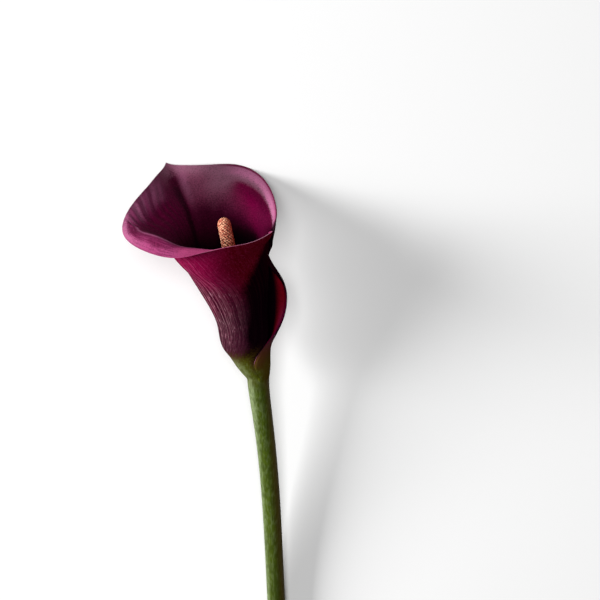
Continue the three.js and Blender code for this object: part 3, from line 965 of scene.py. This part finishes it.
@dataclass
class Spadix:
    """The spike of florets that stands on the stem's boss, inside the spathe."""

    stem: Stem
    route: tuple[Point, ...] = ((-6.5, 28, 27), (-12.9, 58, 34), (-16.9, 79.2, 38))
    foot_radius: float = 3.7
    tip_radius: float = 3.1
    base_length: float = 3.0
    gap: float = 0.3
    sink: float = 0.25  # how far the core lies below the tops of the florets
    steps: int = 110
    sides: int = 40
    dome_steps: int = 14  # round its tip
    line_steps: int = 600  # along its middle, to measure its length
    seat_steps: int = 4000  # along it, to count the florets' room
    floret_area: float = 1.15  # of each floret of the upper part, in square millimetres
    lower_area: float = 2.6  # of each one near the foot
    lower_part: float = 0.34  # how far up the larger ones stand, as a share of the length
    lean: float = 0.1  # how far a floret's top leans over, at most
    shift: float = 0.3  # how far it stands off its seat, at most, as a share of its radius
    widths: tuple[float, float] = (0.88, 1.1)
    heights: tuple[float, float] = (0.8, 1.15)
    dome: float = 0.8  # the height of a floret, as a share of its radius
    tints: tuple[float, float] = (0.2, 0.9)  # from salmon to tan
    right_shade: float = 0.95  # how much redder and darker its right side is painted, as shade
    sharpest: float = 60.0
    seed: int = 11
    finish: SpadixFinish = field(default_factory=SpadixFinish)

    def _line(self, places: Array) -> tuple[Array, Array, float]:
        """Give the spadix's middles and directions at shares of its length, and that length."""
        tops, along, _ = self.stem.line(np.array([0.0]))
        foot = tops[0] + along[0] * (self.stem.boss_length + self.gap)
        knots = np.vstack([foot, foot + along[0] * self.base_length, np.array(self.route)])
        chords = np.concatenate([[0.0], np.cumsum(np.linalg.norm(np.diff(knots, axis=0), axis=1))])
        fine = np.linspace(0.0, chords[-1], self.line_steps)
        curve = spline_weights(list(chords), fine) @ knots
        lengths = np.concatenate([[0.0], np.cumsum(np.linalg.norm(np.diff(curve, axis=0), axis=1))])
        at = np.interp(places * lengths[-1], lengths, fine)
        weights = spline_weights(list(chords), at)
        before = spline_weights(list(chords), np.maximum(at - 0.05, 0.0))
        after = spline_weights(list(chords), np.minimum(at + 0.05, chords[-1]))
        return weights @ knots, unit_vectors((after - before) @ knots), float(lengths[-1])

    def _radius(self, places: Array, length: float) -> Array:
        """Give its radius at shares of its length, rounded off at its tip."""
        from_tip = np.minimum(1.0, (1.0 - places) * length / self.tip_radius)
        dome = np.sqrt(np.maximum(0.0, 1.0 - (1.0 - from_tip) ** 2))
        return (self.foot_radius + (self.tip_radius - self.foot_radius) * places) * dome

    def _core(self) -> Piece:
        """Model the core that the florets stand on."""
        _, _, length = self._line(np.array([0.0]))
        dome = self.tip_radius / length
        tip = 1.0 - dome * (1.0 - np.sin(np.linspace(0.0, math.pi / 2, self.dome_steps)[1:]))
        places = np.concatenate([np.linspace(0.0, 1.0 - dome, self.steps), tip])
        middles, along, _ = self._line(places)
        radii = np.maximum(self._radius(places, length) - self.sink, 0.0)
        sections = [Section(middles[0], along[0], 0.0)]
        sections += [Section(*row) for row in zip(middles, along, radii)]
        return stalk("spadix_spike", sections, self.sides)

    def _seats(self) -> list[tuple[Array, Array, float, float]]:
        """Set out the florets in a spiral, each with the same room about it.

        Returns:
            For each floret its place, its outward direction, its radius and its share of the length.
        """
        fine = np.linspace(0.0, 1.0, self.seat_steps)
        middles, along, length = self._line(fine)
        radii = self._radius(fine, length)
        slope = np.gradient(radii, fine * length)
        room = np.where(fine < self.lower_part, self.lower_area, self.floret_area)
        strip = 2 * math.pi * np.maximum(radii, 0.02) * np.sqrt(1 + slope**2) * np.gradient(fine * length)
        count = np.cumsum(strip / room)
        turn = math.pi * (3 - math.sqrt(5))
        seats = []
        for number in range(1, int(count[-1])):
            i = int(np.searchsorted(count, number))
            up = unit_vectors(np.array([0.0, 0.0, 1.0]) - along[i] * along[i][2])
            side = np.cross(along[i], up)
            angle = number * turn
            outwards = math.cos(angle) * up + math.sin(angle) * side
            steep = min(max(slope[i], -8.0), 8.0)
            facing = unit_vectors(outwards - along[i] * steep)
            place = middles[i] + outwards * max(radii[i] - self.sink, 0.0)
            seats.append((place, facing, math.sqrt(room[i] / math.pi), float(fine[i])))
        return seats

    def _floret(self) -> tuple[Array, list[tuple[int, ...]]]:
        """Model one floret as a low dome of radius 1 that sinks a little below its seat.

        Returns:
            Its corners and its faces.
        """
        bpy.ops.mesh.primitive_uv_sphere_add(segments=8, ring_count=8, radius=1.0)
        pattern = bpy.context.object
        edit(pattern)
        bpy.ops.mesh.bisect(plane_co=(0, 0, -0.1), plane_no=(0, 0, 1), clear_inner=True)
        close_edit()
        corners = np.array([vertex.co[:] for vertex in pattern.data.vertices])
        faces = [tuple(face.vertices) for face in pattern.data.polygons]
        bpy.data.objects.remove(pattern)
        return corners, faces

    def _crowd(self) -> Piece:
        """Model all the florets as one mesh, each a little different from the next."""
        chance = random.Random(self.seed)
        corners, faces = self._floret()
        all_corners, all_faces, spikes = [], [], []
        for place, facing, radius, share in self._seats():
            first = unit_vectors(np.cross(facing, [0.31, 0.17, 0.94]))
            second = np.cross(facing, first)
            draws = np.array([chance.uniform(-1, 1) for _ in range(4)])
            wide = radius * chance.uniform(*self.widths)
            tall = self.dome * radius * chance.uniform(*self.heights)
            local = corners * [wide, wide, tall]
            local[:, :2] += self.lean * draws[:2] * local[:, 2:]
            local[:, :2] += self.shift * radius * draws[2:]
            start = len(all_corners) * len(corners)
            all_corners.append(place + local @ np.stack([first, second, facing]))
            all_faces += [tuple(index + start for index in face) for face in faces]
            # florets that face right get less tan: painted shade on the spadix's right side
            tint = chance.uniform(*self.tints) * (1.0 - self.right_shade * max(facing[0], 0.0))
            spikes.append([(max(z, 0.0), share, tint) for z in corners[:, 2]])
        mesh = bpy.data.meshes.new("spadix_florets")
        places = (np.vstack(all_corners) + FOOT) * MM
        mesh.from_pydata(places.tolist(), [], all_faces)
        attribute = mesh.attributes.new("spike", "FLOAT_VECTOR", "POINT")
        attribute.data.foreach_set("vector", np.array(spikes).ravel())
        crowd = bpy.data.objects.new("spadix_florets", mesh)
        bpy.context.collection.objects.link(crowd)
        return crowd

    def build(self) -> Piece:
        """Model the core and its florets as one piece and dress it."""
        piece = self._core()
        piece.data.attributes.remove(piece.data.attributes["grain"])
        pick(self._crowd(), piece)
        bpy.ops.object.join()
        shade(piece, self.sharpest)
        piece.data.materials.append(self.finish.florets())
        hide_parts("spadix")
        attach(piece, "root")
        return piece


# ---------------- studio


@dataclass(frozen=True)
class Lamp:
    """A square soft light that faces the flower."""

    name: str
    place: Point  # in metres
    size: float  # of its sides
    power: float  # in watts


@dataclass
class Studio:
    """The pale floor, the soft lights and the camera that looks straight down."""

    camera_over: Point = (45.88, 79.0, 858.3)  # millimetres, from the flower's origin
    lens: float = 100.0
    floor_size: float = 16.0
    floor_colour: Colour = srgb(238, 238, 238)
    lamps: tuple[Lamp, ...] = (
        Lamp("key", (-2.4, 0.3, 0.85), 1.0, 116.0),
        Lamp("above", (-0.2, 0.1, 2.4), 1.2, 35.0),
    )
    aim: Point = (0.0, 0.08, 0.02)
    sky: float = 0.06

    def build(self) -> None:
        """Set out the floor, the lights, the sky and the camera."""
        self._floor()
        for lamp in self.lamps:
            self._light(lamp)
        world = bpy.data.worlds.new("studio")
        world.use_nodes = True
        sky = world.node_tree.nodes["Background"]
        sky.inputs["Color"].default_value = (1.0, 1.0, 1.0, 1.0)
        sky.inputs["Strength"].default_value = self.sky
        bpy.context.scene.world = world
        bpy.context.scene.view_settings.view_transform = "Standard"
        self._camera()

    def _floor(self) -> None:
        """Lay the plain pale floor."""
        bpy.ops.mesh.primitive_plane_add(size=self.floor_size, location=(0, 0, 0))
        floor = bpy.context.object
        floor.name = "floor"
        paint = Paint("floor_paper", self.floor_colour)
        roughness = paint.grain(400.0) * 0.1 + 0.8
        floor.data.materials.append(paint.finish(roughness, None, 0.0, {}))

    def _light(self, lamp: Lamp) -> None:
        """Hang a lamp so that it faces the flower."""
        data = bpy.data.lights.new(lamp.name, "AREA")
        data.energy = lamp.power
        data.size = lamp.size
        light = bpy.data.objects.new(lamp.name, data)
        light.location = lamp.place
        towards = Vector(self.aim) - Vector(lamp.place)
        light.rotation_euler = towards.to_track_quat("-Z", "Y").to_euler()
        bpy.context.collection.objects.link(light)

    def _camera(self) -> None:
        """Put the camera straight over the flower, with its top towards +Y."""
        data = bpy.data.cameras.new("camera")
        data.lens = self.lens
        camera = bpy.data.objects.new("camera", data)
        camera.location = Vector(self.camera_over) * MM
        bpy.context.collection.objects.link(camera)
        bpy.context.scene.camera = camera


# ---------------- the flower


def main() -> None:
    """Build the flower piece by piece, then the studio round it."""
    logging.basicConfig(level=logging.INFO, format="%(name)s: %(message)s")
    stem = Stem()
    for part in (Spathe(), stem, Spadix(stem)):
        piece = part.build()
        log.info("%s has %d faces", piece.name, len(piece.data.polygons))
    Studio().build()


if __name__ == "__main__":
    main()
